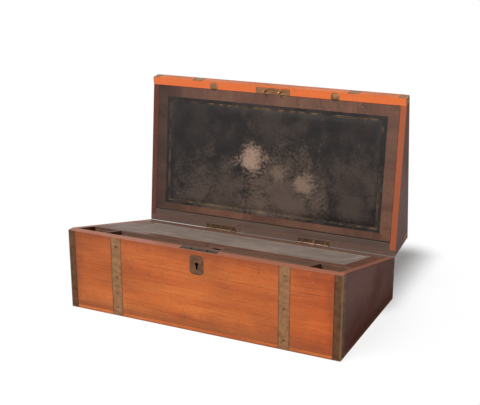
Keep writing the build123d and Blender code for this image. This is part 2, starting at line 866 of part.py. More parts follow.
def flap_nodes():
    start = flap_start_s()
    room = both_ends([catch_room()])
    nodes = {
        "base_flap_board": [flap_board(base_slope, -1, start)],
        "base_flap_crossband": crossband(base_slope, -1, start),
        "base_flap_leather": [leather(base_slope, -1, start)],
        "base_flap_pivots": both_ends([pivot_rod(base_slope, -1, 0)]),
        "lid_flap_board": [flap_board(lid_slope, 1, flap_end_gap) - room],
        "lid_flap_crossband": [strip - room for strip in crossband(lid_slope, 1, flap_end_gap)],
        "lid_flap_leather": [leather(lid_slope, 1, flap_end_gap)],
        "lid_flap_pivots": both_ends([pivot_rod(lid_slope, 1, 0)]),
    }
    return nodes


def lid_nodes():
    caps = both_ends([lid_front_cap(), lid_back_cap()])
    nodes = {
        "lid_front_wall": [lid_front_wall()],
        "lid_back_wall": [lid_back_wall()],
        "lid_left_end": [mirrored(lid_end())],
        "lid_right_end": [lid_end()],
        "lid_top_board": [lid_top_board()],
        "lid_hinge_rail": [hinge_rail(lid_slope, 1)],
        "lid_flap_ledges": both_ends([flap_ledge(lid_slope, 1, lid_ledge_start)]),
        "lid_strap_left": [lid_strap(-strap_x) - lid_strap_screws()],
        "lid_strap_right": [lid_strap(strap_x) - lid_strap_screws()],
        "lid_corner_caps": caps,
        "lock_link_plate": [lock_link_plate()],
        "lid_flap_catch_left": [mirrored(turn_catch())],
        "lid_flap_catch_right": [turn_catch()],
        "lid_strap_screws": lid_strap_screws(),
        "lid_hinge_screws": leaf_screws(lid_slope, 180),
    }
    for name, x in (("left", -hinge_x), ("right", hinge_x)):
        leaf = hinge_leaf(x, lid_slope, 1, 1)
        nodes["hinge_" + name + "_lid_leaf"] = [leaf - leaf_screws(lid_slope, 180)]
    return nodes


def all_nodes():
    nodes = base_nodes()
    nodes.update(bottle_nodes())
    flaps = flap_nodes()
    lid = lid_nodes()
    for name, pieces in flaps.items():
        if name.startswith("lid_"):
            lid[name] = pieces
        else:
            nodes[name] = pieces
    for name, pieces in lid.items():
        nodes[name] = [opened(piece) for piece in pieces]
    return nodes


os.makedirs("parts", exist_ok=True)
for name, pieces in all_nodes().items():
    shape = pieces[0] if len(pieces) == 1 else Compound(children=pieces)
    export_step(shape, "parts/" + name + ".step")
    print(name, len(pieces), round(shape.volume))
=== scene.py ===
import json
import math

import bpy
from mathutils import Matrix, Vector

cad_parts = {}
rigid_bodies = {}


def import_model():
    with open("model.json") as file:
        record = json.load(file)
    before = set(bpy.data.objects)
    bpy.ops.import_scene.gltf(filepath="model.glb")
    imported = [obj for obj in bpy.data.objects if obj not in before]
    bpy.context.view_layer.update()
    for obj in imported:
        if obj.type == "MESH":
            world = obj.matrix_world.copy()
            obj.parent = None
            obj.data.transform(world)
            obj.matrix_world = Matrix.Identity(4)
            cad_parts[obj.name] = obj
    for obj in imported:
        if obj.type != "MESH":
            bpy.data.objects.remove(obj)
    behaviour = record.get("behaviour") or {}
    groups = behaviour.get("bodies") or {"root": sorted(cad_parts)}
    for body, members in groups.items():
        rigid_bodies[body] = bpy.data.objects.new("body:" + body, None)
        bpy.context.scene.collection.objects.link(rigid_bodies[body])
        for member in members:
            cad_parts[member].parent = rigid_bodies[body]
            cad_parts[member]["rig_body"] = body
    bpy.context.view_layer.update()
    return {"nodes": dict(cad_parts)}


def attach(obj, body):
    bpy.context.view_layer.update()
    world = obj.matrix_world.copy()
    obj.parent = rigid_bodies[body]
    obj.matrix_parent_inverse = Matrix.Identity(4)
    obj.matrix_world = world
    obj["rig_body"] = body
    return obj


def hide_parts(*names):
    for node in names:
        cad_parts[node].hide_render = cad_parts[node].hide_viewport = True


# Traveling desk box: the looks of a brass-bound mahogany writing slope that stands open.
# Metres, +Z up, the lock side faces -Y. The lid is made shut and then turned open.

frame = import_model()

# Sizes of the box, as in the CAD
half_w = 0.25
half_d = 0.1375
closed_height = 0.160
front_height = 0.142
hinge_height = 0.080
rim_y = -0.1225
wall_t = 0.011
seam_gap = 0.0003
hinge_axis = Vector((0, 0.1377, 0.08015))
stand_angle = math.radians(82)
slope_run = half_d - rim_y
slope = math.atan2(front_height - hinge_height, slope_run)
slope_length = slope_run / math.cos(slope)

# Flaps: the leather's half width, its start and end down the slope, how far it lies below the
# flap's face, its thickness, and the widths of the crossbands
leather_half_w = 0.2185
base_leather_s = (0.0803, 0.2287)
lid_leather_s = (0.0205, 0.2287)
leather_below = 0.0001
leather_t = 0.0009
band_w = 0.020
hinge_band_w = 0.012

# How far use has rounded the edges
board_ease = 0.0003
seam_ease = 0.00005
metal_ease = 0.00015

# Clearing and shading of meshes
merge_reach = 0.000001
level_angle = math.radians(0.3)
smooth_angle = math.radians(35)
turned_smooth_angle = math.radians(40)

# Tooled lines: how far in from the leather's edge they run, and half their width
wide_line_in = 0.00665
wide_line_half = 0.0006
fine_line_in = 0.00895
fine_line_half = 0.0003

# The leather's border from the edge inwards: each inset's width and its rise. Then how far the
# cockled field stays from the edge, and how much it moves.
border_insets = ((0.006, 0), (0.0004, -0.0003), (0.0005, 0), (0.0004, 0.0003), (0.0012, 0),
                 (0.0003, -0.0002), (0.0003, 0), (0.0003, 0.0002), (0.012, 0))
field_margin = 0.03
field_cuts = 40
cockle_size = 0.06
cockle_rise = 0.0005

# Where long boards change colour: how far out towards their ends, and at which heights to the rim
end_tint_from = 0.13
top_tint_heights = (0.07, 0.13)

# Fittings
strap_x = 0.154
strap_w = 0.020
strap_screw_z = (0.016, 0.071, 0.126)
lid_strap_screw_y = (-0.1215, -0.0405, 0.0405, 0.1215)
corner_leg = 0.014
hinge_x = 0.095
leaf_screw_reach = 0.02232
leaf_screw_s = slope_length - wall_t / 2
screw_head_r = 0.0026
screw_head_h = 0.0012
screw_shank_r = 0.0011
screw_shank_length = 0.004
screw_slot = (0.0008, 0.0064, 0.0012)
screw_groove = ((0.0003, -0.0001), (0.00015, 0.0001))
catch_place = Vector((0.120, rim_y - 0.005, front_height + seam_gap))
keyhole_place = Vector((0, -half_d, 0.117))
keyhole_reach = 0.009
catch_r = 0.008
catch_slot = (1.3 * catch_r, 0.0012, 0.0012)

# Ink bottles: heights are from the cell's floor
bottle_place = Vector((0.214, -0.0975, 0.078))
bottle_side = 0.044
bottle_foot = 0.0003
shoulder_h = 0.030
neck_foot_h = 0.035
mouth_h = 0.042
bottle_neck_r = 0.0115
bottle_well_r = 0.0085
bottle_corner_cut = 0.0106
bottle_ease = 0.0006
cap_hinge_h = 0.0408
cap_hinge_out = 0.0156
cap_knuckle_r = 0.0019
cap_knuckle_w = 0.0037
cap_tongue_out = 0.0140
cap_tongue = (cap_knuckle_w, 0.0032, 0.0012)

# Turned outlines, as radius and height. The neck and the well reach past what they join or cut.
overlap = 0.001
neck_outline = [(bottle_neck_r, neck_foot_h - overlap), (bottle_neck_r, mouth_h - 0.0008),
                (bottle_neck_r - 0.0004, mouth_h)]
well_outline = [(0.003, 0.0053), (0.0062, 0.0057), (0.008, 0.0068), (bottle_well_r, 0.009),
                (bottle_well_r, mouth_h + overlap)]
cap_outline = [(0.0118, 0.0441), (0.0118, 0.0393), (0.0127, 0.0393), (0.0130, 0.0396),
               (0.0130, 0.0405), (0.0127, 0.0407), (0.0127, 0.0411), (0.0130, 0.0413),
               (0.0130, 0.0446), (0.0127, 0.0451), (0.0119, 0.0455), (0.0114, 0.0453),
               (0.0108, 0.0457), (0.0096, 0.0465), (0.0072, 0.0470), (0.0040, 0.0473),
               (0.0008, 0.0473)]
ink_outline = [(0.003, 0.0052), (0.0063, 0.0056), (0.0081, 0.0067), (0.00855, 0.0089),
               (0.00855, 0.0196), (0.0082, 0.0193), (0.0074, 0.0190), (0.0060, 0.0189),
               (0.0005, 0.0189)]

# Floor: it glows to the camera, a little less near the box and least in the shade behind it
white_reach = (0.25, 0.5)
near_glow = 0.86
shade_middle = (0, 0.245, 0)
shade_half = (0.2, 0.125, 0)
shade_fade = 0.09
shade_glow = 0.15

# Frames of the lid and of the two slopes
open_turn = (Matrix.Translation(hinge_axis) @ Matrix.Rotation(-stand_angle, 4, "X")
             @ Matrix.Translation(-hinge_axis))
base_slope = Matrix.Translation((0, rim_y, front_height)) @ Matrix.Rotation(-slope, 4, "X")
lid_slope = open_turn @ Matrix.Translation((0, 0, seam_gap)) @ base_slope


# Modelling by hand

def select_only(piece):
    bpy.ops.object.select_all(action="DESELECT")
    piece.select_set(True)
    bpy.context.view_layer.objects.active = piece


def start_edit(piece):
    select_only(piece)
    bpy.ops.object.mode_set(mode="EDIT")


def end_edit():
    bpy.ops.object.mode_set(mode="OBJECT")


def new_box(size, place=(0, 0, 0)):
    """A box round a place, with its size in its scale."""
    bpy.ops.object.select_all(action="DESELECT")
    bpy.ops.mesh.primitive_cube_add(size=1, location=place)
    box = bpy.context.object
    box.scale = size
    return box


def merge_doubles():
    """In edit mode, merges the vertices of the active piece that lie on each other."""
    bpy.ops.mesh.select_all(action="SELECT")
    bpy.ops.mesh.remove_doubles(threshold=merge_reach)


def pick_faces(piece, wanted):
    """In edit mode, selects the faces whose centre and normal are wanted."""
    bpy.ops.mesh.select_mode(type="FACE")
    bpy.ops.mesh.select_all(action="DESELECT")
    end_edit()
    for face in piece.data.polygons:
        face.select = wanted(face.center, face.normal)
    bpy.ops.object.mode_set(mode="EDIT")


def apply_modifier(piece, kind, **settings):
    select_only(piece)
    modifier = piece.modifiers.new(kind.lower(), kind)
    for name, value in settings.items():
        setattr(modifier, name, value)
    bpy.ops.object.modifier_apply(modifier=modifier.name)


def soften(piece, width, segments=2, angle=40):
    """Rounds the sharp edges of a piece and shades it smooth between them."""
    apply_modifier(piece, "BEVEL", width=width, segments=segments, limit_method="ANGLE",
                   angle_limit=math.radians(angle))
    start_edit(piece)
    merge_doubles()
    end_edit()
    bpy.ops.object.shade_smooth_by_angle(angle=smooth_angle)
    apply_modifier(piece, "WEIGHTED_NORMAL", keep_sharp=True)


def cut_away(piece, cutter, operation="DIFFERENCE"):
    """Cuts a second mesh out of a piece, or joins it on, and removes the second mesh."""
    apply_modifier(piece, "BOOLEAN", object=cutter, operation=operation, solver="EXACT")
    bpy.data.objects.remove(cutter)


def put(piece, place):
    """Moves a finished mesh to its place in the frame and leaves the object at the origin."""
    piece.matrix_world = place @ piece.matrix_basis
    select_only(piece)
    bpy.ops.object.transform_apply(location=True, rotation=True, scale=True)


def join_all(pieces, name):
    """One piece with several loose parts."""
    bpy.ops.object.select_all(action="DESELECT")
    for piece in pieces:
        piece.select_set(True)
    bpy.context.view_layer.objects.active = pieces[0]
    bpy.ops.object.join()
    joined = bpy.context.view_layer.objects.active
    joined.name = name
    return joined


def duplicate(piece):
    """A copy with its own mesh."""
    copy = piece.copy()
    copy.data = piece.data.copy()
    bpy.context.scene.collection.objects.link(copy)
    return copy


def softened_node(node, width, materials):
    """Stands for a CAD node: the same shape with its edges eased by use, or kept where the width
    is None."""
    source = frame["nodes"][node]
    piece = bpy.data.objects.new(node + "_finished", source.data.copy())
    bpy.context.scene.collection.objects.link(piece)
    piece.data.materials.clear()
    start_edit(piece)
    merge_doubles()
    bpy.ops.mesh.dissolve_limited(angle_limit=level_angle)
    bpy.ops.mesh.customdata_custom_splitnormals_clear()
    end_edit()
    if width:
        soften(piece, width)
    for material in materials:
        piece.data.materials.append(material)
    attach(piece, source["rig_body"])
    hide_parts(node)
    return piece


def dress(piece, body, slot, material, *nodes):
    """Gives a new piece its material, its body and the CAD nodes that it stands for."""
    piece.data.materials.clear()
    piece.data.materials.append(material)
    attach(piece, body)
    if nodes:
        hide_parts(*nodes)
    return piece


# Shader nodes

def srgb(red, green, blue):
    """A colour written as 0 to 255, as the linear values that nodes take."""
    def linear(value):
        share = value / 255
        return share / 12.92 if share <= 0.04045 else ((share + 0.055) / 1.055) ** 2.4
    return (linear(red), linear(green), linear(blue), 1)


def fill_inputs(tree, node, values):
    """Each value goes into the input of its name, and a socket is linked to it."""
    for name, value in values.items():
        if isinstance(value, bpy.types.NodeSocket):
            tree.links.new(value, node.inputs[name])
        else:
            node.inputs[name].default_value = value


def add(tree, kind, values=None, **settings):
    """A new node with its settings and its inputs."""
    made = tree.nodes.new("ShaderNode" + kind)
    for name, value in settings.items():
        setattr(made, name, value)
    fill_inputs(tree, made, values or {})
    return made


def calc(tree, operation, first, second=0.0):
    return add(tree, "Math", {0: first, 1: second}, operation=operation).outputs[0]


def scale_and_add(tree, value, factor, offset):
    return add(tree, "Math", {0: value, 1: factor, 2: offset}, operation="MULTIPLY_ADD").outputs[0]


def flip(tree, mask):
    """1 where the mask is 0, and the other way round."""
    return calc(tree, "SUBTRACT", 1.0, mask)


def weighted_sum(tree, *parts):
    """The sum of some masks, each times its weight."""
    total = None
    for mask, weight in parts:
        part = calc(tree, "MULTIPLY", mask, weight)
        total = part if total is None else calc(tree, "ADD", total, part)
    return total


def axes(tree, place):
    """The X, Y and Z of a place."""
    return add(tree, "SeparateXYZ", {0: place}).outputs


def vector_calc(tree, operation, first, second=(0, 0, 0)):
    made = add(tree, "VectorMath", {0: first, 1: second}, operation=operation)
    return made.outputs["Value"] if operation in ("LENGTH", "DOT_PRODUCT") else made.outputs["Vector"]


def noise(tree, place, stretch, detail=2.0, distortion=0.0):
    """Cloudy noise whose cells per metre differ along the three axes."""
    scaled = vector_calc(tree, "MULTIPLY", place, stretch)
    values = {"Vector": scaled, "Scale": 1.0, "Detail": detail, "Distortion": distortion}
    return add(tree, "TexNoise", values).outputs[0]


def step(tree, value, low, high, start=0.0, end=1.0):
    """A soft step from the start, at low, to the end, at high."""
    values = {"Value": value, "From Min": low, "From Max": high, "To Min": start, "To Max": end}
    return add(tree, "MapRange", values, interpolation_type="SMOOTHSTEP").outputs[0]


def blend(tree, share, first, second, kind="MIX"):
    """The first colour going over to the second."""
    made = add(tree, "Mix", {0: share, 6: first, 7: second}, data_type="RGBA", blend_type=kind)
    return made.outputs[2]


def stain(tree, colour, mask, strength, tone):
    """The colour going over to a tone where the mask is, by no more than the strength."""
    return blend(tree, calc(tree, "MULTIPLY", mask, strength), colour, tone)


def new_group(name, inputs, outputs):
    """A shader node group with its tree, its given sockets and its result sockets."""
    tree = bpy.data.node_groups.new(name, "ShaderNodeTree")
    for label, kind in inputs:
        tree.interface.new_socket(name=label, in_out="INPUT", socket_type="NodeSocket" + kind)
    for label in outputs:
        tree.interface.new_socket(name=label, in_out="OUTPUT", socket_type="NodeSocketFloat")
    given = tree.nodes.new("NodeGroupInput").outputs
    result = tree.nodes.new("NodeGroupOutput").inputs
    return tree, given, result


def use(tree, group, values):
    """A shader node group placed in a material."""
    made = tree.nodes.new("ShaderNodeGroup")
    made.node_tree = group
    fill_inputs(tree, made, values)
    return made.outputs


def make_grain_group():
    """Mahogany, with x along the grain: slow figure, dark streaks, pores and end grain."""
    tree, given, result = new_group(
        "wood_grain", [("Place", "Vector"), ("Facing", "Vector")],
        ["Figure", "Streaks", "Pores", "End Grain"])
    place = given["Place"]
    figure = noise(tree, place, (3.5, 30, 30), detail=5, distortion=0.5)
    sway = noise(tree, place, (2.5, 9, 9), detail=2)
    lifted = vector_calc(tree, "ADD", place, (0, 0.07, 0.31))
    heart = vector_calc(tree, "MULTIPLY", lifted, (0.05, 1, 1))
    rings = scale_and_add(tree, sway, 0.045, vector_calc(tree, "LENGTH", heart))
    ring_values = {"W": calc(tree, "MULTIPLY", rings, 520), "Scale": 1.0, "Detail": 4.0}
    ring_noise = add(tree, "TexNoise", ring_values, noise_dimensions="1D").outputs[0]
    fibre = noise(tree, place, (11, 420, 420), detail=4)
    dashes = step(tree, noise(tree, place, (45, 1500, 1500), detail=2), 0.56, 0.68)
    lines = calc(tree, "MULTIPLY", step(tree, ring_noise, 0.4, 0.75), step(tree, fibre, 0.35, 0.7))
    streaks = calc(tree, "MAXIMUM", lines, calc(tree, "MULTIPLY", dashes, 0.45))
    pores = noise(tree, place, (260, 3000, 3000), detail=1)
    along = vector_calc(tree, "DOT_PRODUCT", given["Facing"], (1, 0, 0))
    tree.links.new(step(tree, figure, 0.3, 0.7), result["Figure"])
    tree.links.new(streaks, result["Streaks"])
    tree.links.new(step(tree, pores, 0.6, 0.7), result["Pores"])
    tree.links.new(step(tree, calc(tree, "ABSOLUTE", along), 0.75, 0.95), result["End Grain"])
    return tree


def make_wear_group():
    """Years of use: fine scratches both ways, small dents and uneven grime."""
    tree, given, result = new_group(
        "wear_marks", [("Place", "Vector")], ["Scratches", "Dents", "Grime"])
    place = given["Place"]
    scratches = []
    for turn in (0.5, -0.9):
        turned = add(tree, "Mapping", {"Vector": place, "Rotation": (turn, turn, turn)}).outputs[0]
        lines = noise(tree, turned, (14, 700, 700), detail=1)
        where = noise(tree, turned, (17, 23, 19), detail=2)
        scratched = step(tree, where, 0.5, 0.62)
        scratches.append(calc(tree, "MULTIPLY", step(tree, lines, 0.68, 0.74), scratched))
    dents = add(tree, "TexVoronoi", {"Vector": place, "Scale": 55.0}).outputs["Distance"]
    spots = step(tree, noise(tree, place, (31, 31, 31)), 0.52, 0.6)
    tree.links.new(calc(tree, "MAXIMUM", scratches[0], scratches[1]), result["Scratches"])
    shallow = flip(tree, step(tree, dents, 0.02, 0.13))
    tree.links.new(calc(tree, "MULTIPLY", shallow, spots), result["Dents"])
    tree.links.new(step(tree, noise(tree, place, (9, 11, 13), detail=5), 0.45, 0.75), result["Grime"])
    return tree


def make_edge_group():
    """How near a point is to the outer edges of the shut box, broken up by wear."""
    tree, given, result = new_group(
        "box_edges", [("Place", "Vector"), ("Width", "Float")], ["Edge"])
    centred = vector_calc(tree, "SUBTRACT", given["Place"], (0, 0, closed_height / 2))
    outwards = vector_calc(tree, "ABSOLUTE", centred)
    to_face = vector_calc(tree, "SUBTRACT", (half_w, half_d, closed_height / 2), outwards)
    rough = calc(tree, "ADD", 0.4, noise(tree, given["Place"], (60, 60, 60), detail=4))
    reach = calc(tree, "MULTIPLY", given["Width"], rough)
    near = []
    for part in axes(tree, to_face):
        share = calc(tree, "DIVIDE", part, reach)
        near.append(flip(tree, step(tree, share, 0.1, 1.0)))
    pairs = [calc(tree, "MULTIPLY", near[one], near[(one + 1) % 3]) for one in range(3)]
    edge = calc(tree, "MAXIMUM", calc(tree, "MAXIMUM", pairs[0], pairs[1]), pairs[2])
    tree.links.new(edge, result["Edge"])
    return tree


def make_patina_group():
    """Tarnish on old brass: cloudy dark areas, fine brushing and dark specks."""
    tree, given, result = new_group(
        "brass_patina", [("Place", "Vector")], ["Tarnish", "Brushing", "Specks"])
    place = given["Place"]
    clouds = noise(tree, place, (95, 95, 95), detail=9, distortion=0.2)
    brushing = noise(tree, place, (900, 900, 30), detail=2)
    specks = noise(tree, place, (420, 420, 420), detail=2)
    tree.links.new(step(tree, clouds, 0.2, 0.8), result["Tarnish"])
    tree.links.new(brushing, result["Brushing"])
    tree.links.new(step(tree, specks, 0.6, 0.7), result["Specks"])
    return tree


wood_grain = make_grain_group()
wear_marks = make_wear_group()
box_edges = make_edge_group()
brass_patina = make_patina_group()


def new_material(name):
    """An empty material with its shader, and its tree."""
    material = bpy.data.materials.new(name)
    material.use_nodes = True
    tree = material.node_tree
    tree.nodes.clear()
    shader = add(tree, "BsdfPrincipled")
    output = add(tree, "OutputMaterial")
    tree.links.new(shader.outputs[0], output.inputs[0])
    return material, tree, shader


def shut_coordinates(tree, in_lid):
    """Place and facing of a point with the lid shut, so that a pattern follows the lid's own sides."""
    given = add(tree, "TexCoord").outputs
    if not in_lid:
        return given["Object"], given["Normal"]
    back = Matrix.Rotation(stand_angle, 4, "X")
    shift = hinge_axis - back @ hinge_axis
    turn = (stand_angle, 0, 0)
    place = add(tree, "Mapping", {"Vector": given["Object"], "Location": shift, "Rotation": turn})
    facing = add(tree, "Mapping", {"Vector": given["Normal"], "Rotation": turn}, vector_type="VECTOR")
    return place.outputs[0], facing.outputs[0]


def add_bump(tree, shader, height, distance):
    bump = add(tree, "Bump", {"Height": height, "Distance": distance, "Strength": 1.0})
    tree.links.new(bump.outputs[0], shader.inputs["Normal"])


def wood(name, light, middle, dark, rim=None, rim_wood=0.3, in_lid=False, grain="x", shift=(0, 0, 0),
         polish=0.35, gloss=0.3, edge_width=0.006, keyhole_shade=False, end_tints=None, top_tint=None):
    """Mahogany with its grain along one axis of the shut box. Seam faces take the duller rim colour.
    End tints deepen a long board towards its left and its right end, and a top tint darkens it
    towards the rim."""
    material, tree, shader = new_material(name)
    place, facing = shut_coordinates(tree, in_lid)
    turn = {"x": (0, 0, 0), "y": (0, 0, math.radians(90)), "z": (0, math.radians(90), 0)}[grain]
    along = add(tree, "Mapping", {"Vector": place, "Location": shift, "Rotation": turn}).outputs[0]
    along_facing = add(tree, "Mapping", {"Vector": facing, "Rotation": turn}, vector_type="VECTOR")
    grain_of = use(tree, wood_grain, {"Place": along, "Facing": along_facing.outputs[0]})
    wear = use(tree, wear_marks, {"Place": place})
    edge = use(tree, box_edges, {"Place": place, "Width": edge_width})["Edge"]
    colour = blend(tree, grain_of["Figure"], middle, light)
    if end_tints:
        across = axes(tree, place)["X"]
        for side, tint in zip((-1, 1), end_tints):
            towards = step(tree, calc(tree, "MULTIPLY", across, side), end_tint_from, half_w)
            colour = blend(tree, towards, colour, tint, "MULTIPLY")
    if top_tint:
        towards = step(tree, axes(tree, place)["Z"], *top_tint_heights)
        colour = blend(tree, towards, colour, top_tint, "MULTIPLY")
    colour = stain(tree, colour, grain_of["Streaks"], 0.6, dark)
    colour = stain(tree, colour, grain_of["Pores"], 0.45, srgb(62, 26, 16))
    colour = stain(tree, colour, grain_of["End Grain"], 0.45, srgb(88, 44, 28))
    colour = stain(tree, colour, wear["Grime"], 0.3, srgb(84, 44, 26))
    colour = stain(tree, colour, edge, 0.55, srgb(96, 50, 30))
    if rim:
        to_seam = vector_calc(tree, "DOT_PRODUCT", facing, (0, 0, -1 if in_lid else 1))
        seam = step(tree, to_seam, 0.85, 0.95)
        colour = blend(tree, seam, colour, blend(tree, rim_wood, rim, colour))
    colour = stain(tree, colour, wear["Dents"], 0.6, srgb(60, 30, 20))
    colour = stain(tree, colour, wear["Scratches"], 0.35, srgb(214, 150, 104))
    # Painted shade: the wood behind the escutcheon's keyhole is painted near black, for the dark hollow
    # of the keyhole.
    if keyhole_shade:
        from_hole = vector_calc(tree, "SUBTRACT", place, keyhole_place)
        in_face = vector_calc(tree, "MULTIPLY", from_hole, (1, 0, 1))
        inside = calc(tree, "LESS_THAN", vector_calc(tree, "LENGTH", in_face), keyhole_reach)
        colour = blend(tree, inside, colour, srgb(24, 16, 12))
    tree.links.new(colour, shader.inputs["Base Color"])
    rough = calc(tree, "ADD", scale_and_add(tree, wear["Grime"], 0.25, polish),
                 calc(tree, "MULTIPLY", edge, 0.15))
    tree.links.new(rough, shader.inputs["Roughness"])
    shader.inputs["Specular IOR Level"].default_value = gloss
    shader.inputs["Coat Weight"].default_value = gloss * 0.4
    shader.inputs["Coat Roughness"].default_value = 0.2
    depth = weighted_sum(
        tree, (grain_of["Pores"], 0.6), (wear["Dents"], 3.0), (wear["Scratches"], 0.7))
    add_bump(tree, shader, flip(tree, depth), 0.00012)
    return material


def beside_borders(tree, place):
    """Dirt that gathers where the straps and corners meet the wood."""
    across = calc(tree, "ABSOLUTE", axes(tree, place)["X"])
    nearest = None
    for border in (strap_x - strap_w / 2, strap_x + strap_w / 2, half_w - corner_leg):
        off = calc(tree, "ABSOLUTE", calc(tree, "SUBTRACT", across, border))
        nearest = off if nearest is None else calc(tree, "MINIMUM", nearest, off)
    uneven = calc(tree, "MULTIPLY", noise(tree, place, (150, 150, 150), detail=5), 0.0045)
    return flip(tree, step(tree, nearest, 0.0, uneven))


def brass(name, bright, dull, in_lid=False, edge_width=0.0035, roughness=0.34):
    """Old brass gone brown, rubbed brighter along the box's edges."""
    material, tree, shader = new_material(name)
    place, _ = shut_coordinates(tree, in_lid)
    patina = use(tree, brass_patina, {"Place": place})
    wear = use(tree, wear_marks, {"Place": place})
    edge = use(tree, box_edges, {"Place": place, "Width": edge_width})["Edge"]
    colour = blend(tree, patina["Tarnish"], bright, dull)
    colour = stain(tree, colour, patina["Specks"], 0.5, srgb(86, 60, 42))
    colour = stain(tree, colour, beside_borders(tree, place), 0.75, srgb(74, 52, 38))
    colour = stain(tree, colour, edge, 0.5, srgb(196, 156, 104))
    colour = stain(tree, colour, wear["Scratches"], 0.5, srgb(206, 172, 118))
    tree.links.new(colour, shader.inputs["Base Color"])
    shader.inputs["Metallic"].default_value = 1.0
    rough = calc(tree, "SUBTRACT", scale_and_add(tree, patina["Tarnish"], 0.22, roughness),
                 calc(tree, "MULTIPLY", edge, 0.12))
    tree.links.new(rough, shader.inputs["Roughness"])
    depth = weighted_sum(
        tree, (patina["Brushing"], 0.2), (patina["Specks"], 1.0), (wear["Dents"], 3.0))
    add_bump(tree, shader, flip(tree, depth), 0.00005)
    return material


def steel(name):
    """Iron of the lock, brown with age."""
    material, tree, shader = new_material(name)
    place, _ = shut_coordinates(tree, False)
    patina = use(tree, brass_patina, {"Place": place})
    colour = blend(tree, patina["Tarnish"], srgb(128, 122, 114), srgb(84, 62, 48))
    colour = blend(tree, patina["Specks"], colour, srgb(58, 36, 26))
    tree.links.new(colour, shader.inputs["Base Color"])
    shader.inputs["Metallic"].default_value = 1.0
    tree.links.new(scale_and_add(tree, patina["Tarnish"], 0.3, 0.35), shader.inputs["Roughness"])
    add_bump(tree, shader, patina["Specks"], 0.00006)
    return material


def make_border_group():
    """The two tooled lines round a leather panel, with what is left of their gilding."""
    tree, given, result = new_group(
        "tooled_border", [("Place", "Vector"), ("Half Length", "Float"), ("Middle", "Float")],
        ["Gilding"])
    down = add(tree, "Mapping", {"Vector": given["Place"], "Location": (0, -rim_y, -front_height)})
    flat = add(tree, "Mapping", {"Vector": down.outputs[0], "Rotation": (slope, 0, 0)})
    parts = axes(tree, flat.outputs[0])
    from_side = calc(tree, "SUBTRACT", leather_half_w, calc(tree, "ABSOLUTE", parts["X"]))
    from_middle = calc(tree, "ABSOLUTE", calc(tree, "SUBTRACT", parts["Y"], given["Middle"]))
    inwards = calc(tree, "MINIMUM", from_side, calc(tree, "SUBTRACT", given["Half Length"], from_middle))
    lines = []
    for middle, half in ((wide_line_in, wide_line_half), (fine_line_in, fine_line_half)):
        off = calc(tree, "ABSOLUTE", calc(tree, "SUBTRACT", inwards, middle))
        lines.append(calc(tree, "LESS_THAN", off, half))
    left = step(tree, noise(tree, given["Place"], (60, 60, 60), detail=9), 0.38, 0.68)
    both = calc(tree, "MAXIMUM", lines[0], lines[1])
    tree.links.new(calc(tree, "MULTIPLY", both, left), result["Gilding"])
    return tree


tooled_border = make_border_group()


def leather(name, in_lid, dark, pale, rubbed_tone, panel_s, spots, rubbed_from=0.66, dust=0.0):
    """Thin skiver, rubbed paler where hands and paper lay. Each spot is one worn place on the shut
    box, with its size and strength."""
    material, tree, shader = new_material(name)
    place, _ = shut_coordinates(tree, in_lid)
    pebbles = add(tree, "TexVoronoi", {"Vector": place, "Scale": 900.0}).outputs["Distance"]
    mottle = noise(tree, place, (34, 34, 34), detail=8, distortion=0.3)
    crumbs = noise(tree, place, (210, 210, 210), detail=6)
    uneven = calc(tree, "SUBTRACT", calc(tree, "ADD", mottle, crumbs), 1.0)
    ragged = calc(tree, "MULTIPLY", uneven, 1.3)
    large = noise(tree, place, (7, 12, 12), detail=4)
    rubbed = step(tree, weighted_sum(tree, (large, 1.0), (mottle, 0.3)), rubbed_from, 1.05)
    for x, y, z, size, strength in spots:
        away = vector_calc(tree, "LENGTH", vector_calc(tree, "SUBTRACT", place, (x, y, z)))
        nearness = flip(tree, calc(tree, "DIVIDE", away, size))
        spot = step(tree, calc(tree, "ADD", nearness, ragged), 0.1, 0.9)
        rubbed = calc(tree, "MAXIMUM", rubbed, calc(tree, "MULTIPLY", spot, strength))
    wear = use(tree, wear_marks, {"Place": place})
    start, end = panel_s
    border = use(tree, tooled_border, {"Place": place, "Half Length": (end - start) / 2,
                                       "Middle": (start + end) / 2})
    gilding = calc(tree, "MULTIPLY", border["Gilding"], 0.5)
    colour = blend(tree, step(tree, mottle, 0.3, 0.7), dark, pale)
    colour = blend(tree, rubbed, colour, rubbed_tone)
    colour = stain(tree, colour, wear["Scratches"], 0.3, srgb(140, 114, 92))
    colour = stain(tree, colour, wear["Dents"], 0.5, srgb(30, 24, 22))
    colour = blend(tree, gilding, colour, srgb(164, 130, 82))
    tree.links.new(colour, shader.inputs["Base Color"])
    tree.links.new(gilding, shader.inputs["Metallic"])
    tree.links.new(scale_and_add(tree, rubbed, 0.15, 0.6), shader.inputs["Roughness"])
    shader.inputs["Specular IOR Level"].default_value = 0.2
    shader.inputs["Sheen Weight"].default_value = dust
    shader.inputs["Sheen Roughness"].default_value = 0.4
    shader.inputs["Sheen Tint"].default_value = (1, 0.8, 0.68, 1)
    add_bump(tree, shader, weighted_sum(tree, (pebbles, 0.8), (mottle, 1.2)), 0.00012)
    return material


def glass(name):
    """Old clear glass with a faint green in it and hazy patches."""
    material, tree, shader = new_material(name)
    place, _ = shut_coordinates(tree, False)
    haze = step(tree, noise(tree, place, (160, 160, 160), detail=4), 0.45, 0.75)
    tree.links.new(scale_and_add(tree, haze, 0.12, 0.02), shader.inputs["Roughness"])
    shader.inputs["Base Color"].default_value = (0.82, 0.92, 0.86, 1)
    shader.inputs["Transmission Weight"].default_value = 1.0
    shader.inputs["IOR"].default_value = 1.5
    return material


